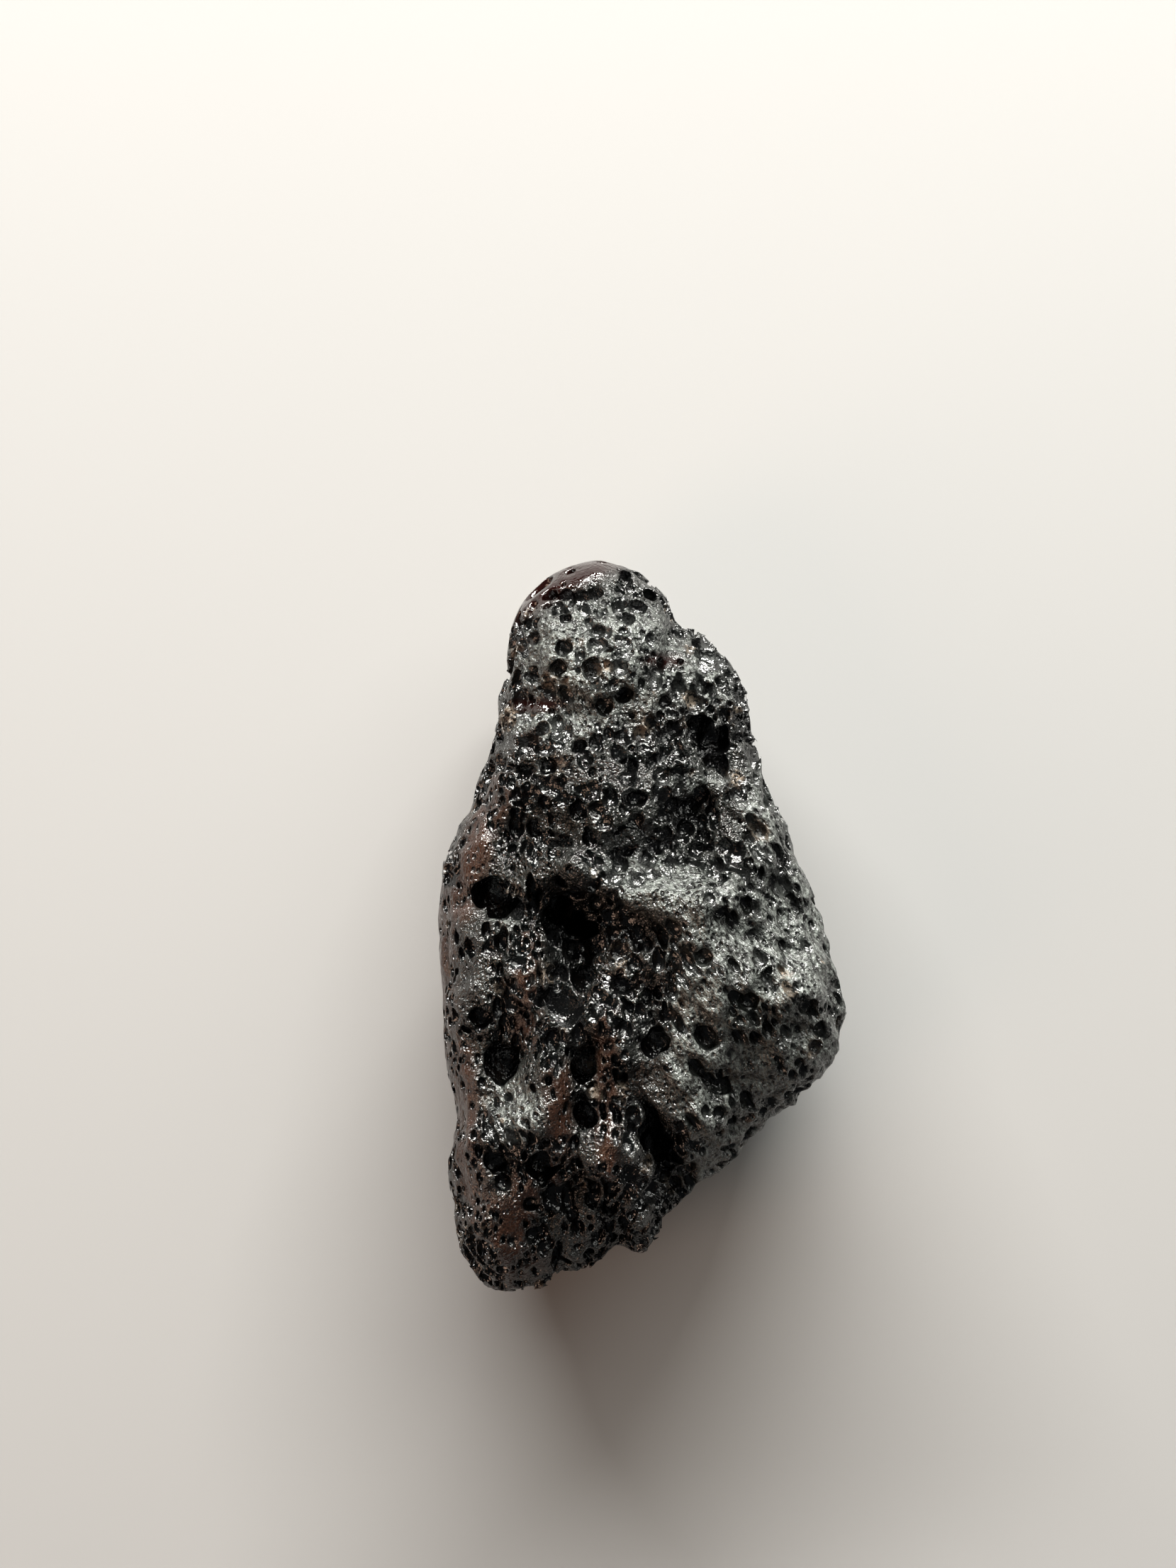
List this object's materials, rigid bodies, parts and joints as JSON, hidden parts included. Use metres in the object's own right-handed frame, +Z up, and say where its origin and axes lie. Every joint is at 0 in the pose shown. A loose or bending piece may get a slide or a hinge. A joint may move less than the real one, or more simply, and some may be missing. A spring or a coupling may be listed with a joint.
{
  "type": "tektite",
  "caption": "Small lump of black natural glass, pitted all over by burst gas bubbles, tapering to one end, that lies on a small flat spot on its back.",
  "frame": {"origin": "on the surface that the stone lies on, below the middle of its length and width", "axes": "+Y along the stone towards its narrow end, +X across it, +Z up off the surface towards its most pitted face"},
  "size_m": [0.0111, 0.0199, 0.0082],
  "materials": {
    "black_glass": "opaque black natural glass, glossy in the bubble pits and on the left, satin and finely etched on the right face, with pale dirt in some pits"
  },
  "bodies": {
    "root": {"tektite": "black_glass"}
  },
  "joints": []
}
